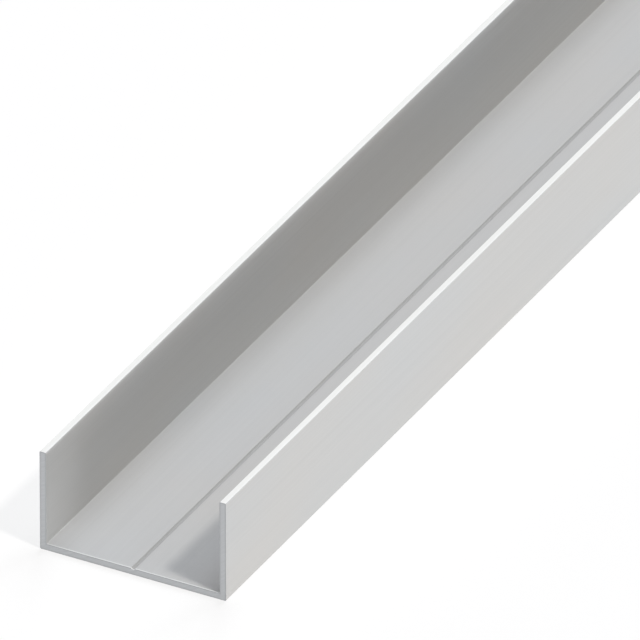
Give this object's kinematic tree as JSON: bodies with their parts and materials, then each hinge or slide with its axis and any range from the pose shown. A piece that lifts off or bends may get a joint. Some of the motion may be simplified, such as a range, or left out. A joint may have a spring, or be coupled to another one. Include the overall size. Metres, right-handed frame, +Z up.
{
  "type": "u-channel",
  "caption": "Straight extruded aluminium U-channel bar with equal flanges and a shallow groove along the middle of the web's inside face.",
  "frame": {"origin": "under the middle of the web, half way along the bar, on the plane it lies on", "axes": "+X across the section, +Y along the bar, +Z up from the web towards the flange tips"},
  "size_m": [0.0434, 1, 0.0235],
  "materials": {
    "aluminium": "matt anodised, with square sawn ends"
  },
  "bodies": {
    "root": {"u_channel": "aluminium"}
  },
  "joints": []
}
